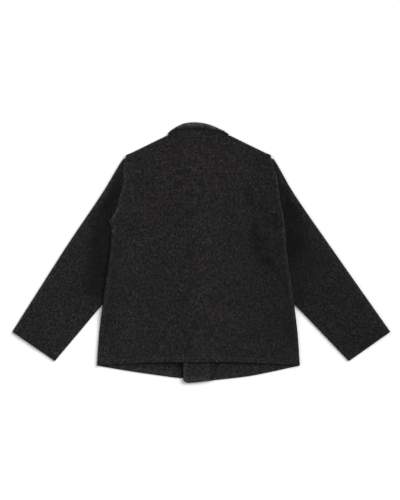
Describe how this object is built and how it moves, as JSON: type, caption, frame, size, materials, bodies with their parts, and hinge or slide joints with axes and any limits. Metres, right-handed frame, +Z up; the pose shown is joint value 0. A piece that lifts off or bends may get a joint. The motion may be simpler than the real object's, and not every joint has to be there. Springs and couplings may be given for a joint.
{
  "type": "naval deck jacket laid flat",
  "caption": "Short boxy wool jacket with a stand collar and set-in sleeves, buttoned up and laid face down with the sleeves angled out.",
  "frame": {"origin": "on the surface that the jacket lies on, at the middle of its footprint", "axes": "+Z up, out of the jacket's back; +Y towards the collar; +X towards the wearer's right sleeve"},
  "size_m": [1.1353, 0.7823, 0.0163],
  "materials": {
    "wool": "matt napped wool, charcoal with light flecks",
    "facing_wool": "matt wool",
    "horn": "dull dark horn look"
  },
  "bodies": {
    "root": {"back": "wool", "front_left": "wool", "front_right": "wool", "facing_right": "facing_wool", "sleeve_left": "wool", "sleeve_right": "wool", "collar": "wool", "button_1": "horn", "button_2": "horn", "button_3": "horn", "button_4": "horn", "button_5": "horn"}
  },
  "joints": []
}
